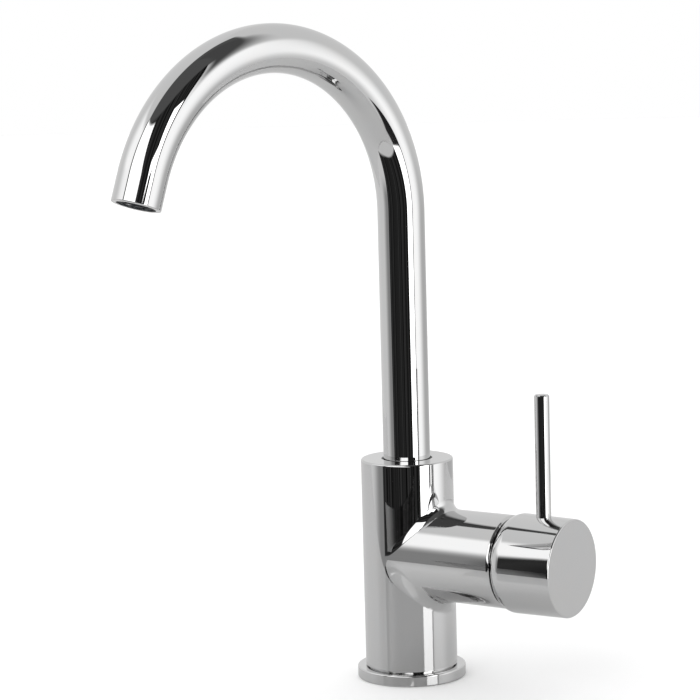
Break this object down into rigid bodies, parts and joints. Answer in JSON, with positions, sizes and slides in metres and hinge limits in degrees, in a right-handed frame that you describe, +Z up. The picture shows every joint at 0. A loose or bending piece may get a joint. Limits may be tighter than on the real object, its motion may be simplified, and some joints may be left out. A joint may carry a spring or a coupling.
{
  "type": "basin mixer tap",
  "caption": "Chrome deck-mounted mixer tap with a round column, a tall swivelling swan-neck spout, and a side arm whose knob and pin lever tilt for flow and turn for temperature.",
  "frame": {"origin": "on the column's axis, at the plane of the deck that the base stands on", "axes": "+Z up along the column; +X along the side arm, towards the knob; the user stands on the -Y side, over which the spout hangs"},
  "size_m": [0.1553, 0.2168, 0.3571],
  "materials": {
    "chrome": "polished chrome plate on brass",
    "brass": "turned, bare",
    "steel": "stainless, machined",
    "rubber": "moulded black nitrile rubber",
    "white_acetal": "moulded acetal, slightly waxy",
    "dark_acetal": "moulded acetal, dark grey",
    "cartridge_plastic": "glass-filled nylon, light grey",
    "alumina": "lapped alumina"
  },
  "bodies": {
    "body": {"body": "chrome", "base_flange": "chrome", "base_gasket": "rubber", "glide_ring": "dark_acetal", "lock_screw": "steel", "cartridge_base": "cartridge_plastic", "seat_seals": "rubber", "disc_seals": "rubber", "fixed_disc": "alumina", "cartridge_housing": "cartridge_plastic", "cartridge_nut": "brass", "dome": "chrome"},
    "spout": {"spout_tube": "chrome", "spout_spigot": "brass", "lower_o_ring": "rubber", "upper_o_ring": "rubber", "slide_band": "white_acetal", "aerator_shell": "dark_acetal", "aerator_grid": "dark_acetal", "aerator_diffuser": "dark_acetal", "aerator_gasket": "rubber"},
    "turret": {"turret": "cartridge_plastic", "pivot_pin": "steel", "turret_o_ring": "rubber"},
    "lever": {"stem": "steel", "knob": "chrome", "pin_lever": "chrome", "grub_screw": "steel", "screw_plug": "chrome"},
    "shutter": {"disc_carrier": "cartridge_plastic", "moving_disc": "alumina"}
  },
  "joints": [
    {"name": "spout_swivel", "type": "hinge", "parent": "body", "child": "spout", "pos_m": [0, 0, 0.117], "axis": [0, 0, 1], "range_deg": [-47, 73]},
    {"name": "temperature_turn", "type": "hinge", "parent": "body", "child": "turret", "pos_m": [0.05, 0, 0.069], "axis": [1, 0, 0], "range_deg": [-45, 45]},
    {"name": "flow_tilt", "type": "hinge", "parent": "turret", "child": "lever", "pos_m": [0.05, 0, 0.069], "axis": [0, 1, 0], "range_deg": [0, 22]},
    {"name": "disc_slide", "type": "slide", "parent": "turret", "child": "shutter", "axis": [0, 0, 1], "range_m": [0, 0.0029]}
  ],
  "couplings": [
    {"joint": "disc_slide", "follows": "flow_tilt", "m_per_rad": 0.0075122}
  ]
}
